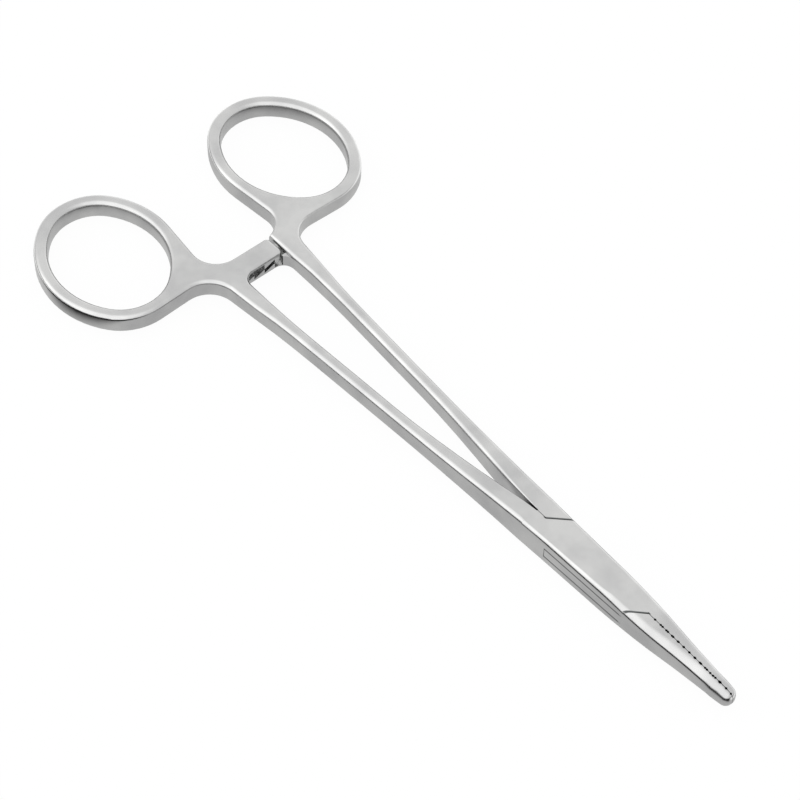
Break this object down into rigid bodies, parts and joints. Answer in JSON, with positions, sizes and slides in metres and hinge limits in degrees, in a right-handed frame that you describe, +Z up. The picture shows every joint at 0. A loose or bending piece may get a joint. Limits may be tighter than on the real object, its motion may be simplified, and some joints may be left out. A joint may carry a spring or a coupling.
{
  "type": "needle holder",
  "caption": "Locking needle holder, closed: oval finger rings, slender shanks with a toothed ratchet between them, a flush box lock and short tapered jaws with crossed serrations.",
  "frame": {"origin": "where the pivot's axis meets the flat underside of the lock", "axes": "+X forward along the closed pair to the jaw tips, +Y to the finger ring of the male half, +Z up along the pivot's axis"},
  "size_m": [0.1502, 0.0654, 0.0058],
  "materials": {
    "satin_steel": "satin"
  },
  "bodies": {
    "female": {"female_half": "satin_steel", "pivot_pin": "satin_steel"},
    "male": {"male_half": "satin_steel"}
  },
  "joints": [
    {"name": "box_lock", "type": "hinge", "parent": "female", "child": "male", "pos_m": [0, 0, 0.0029], "axis": [0, 0, -1], "range_deg": [0, 35]}
  ]
}
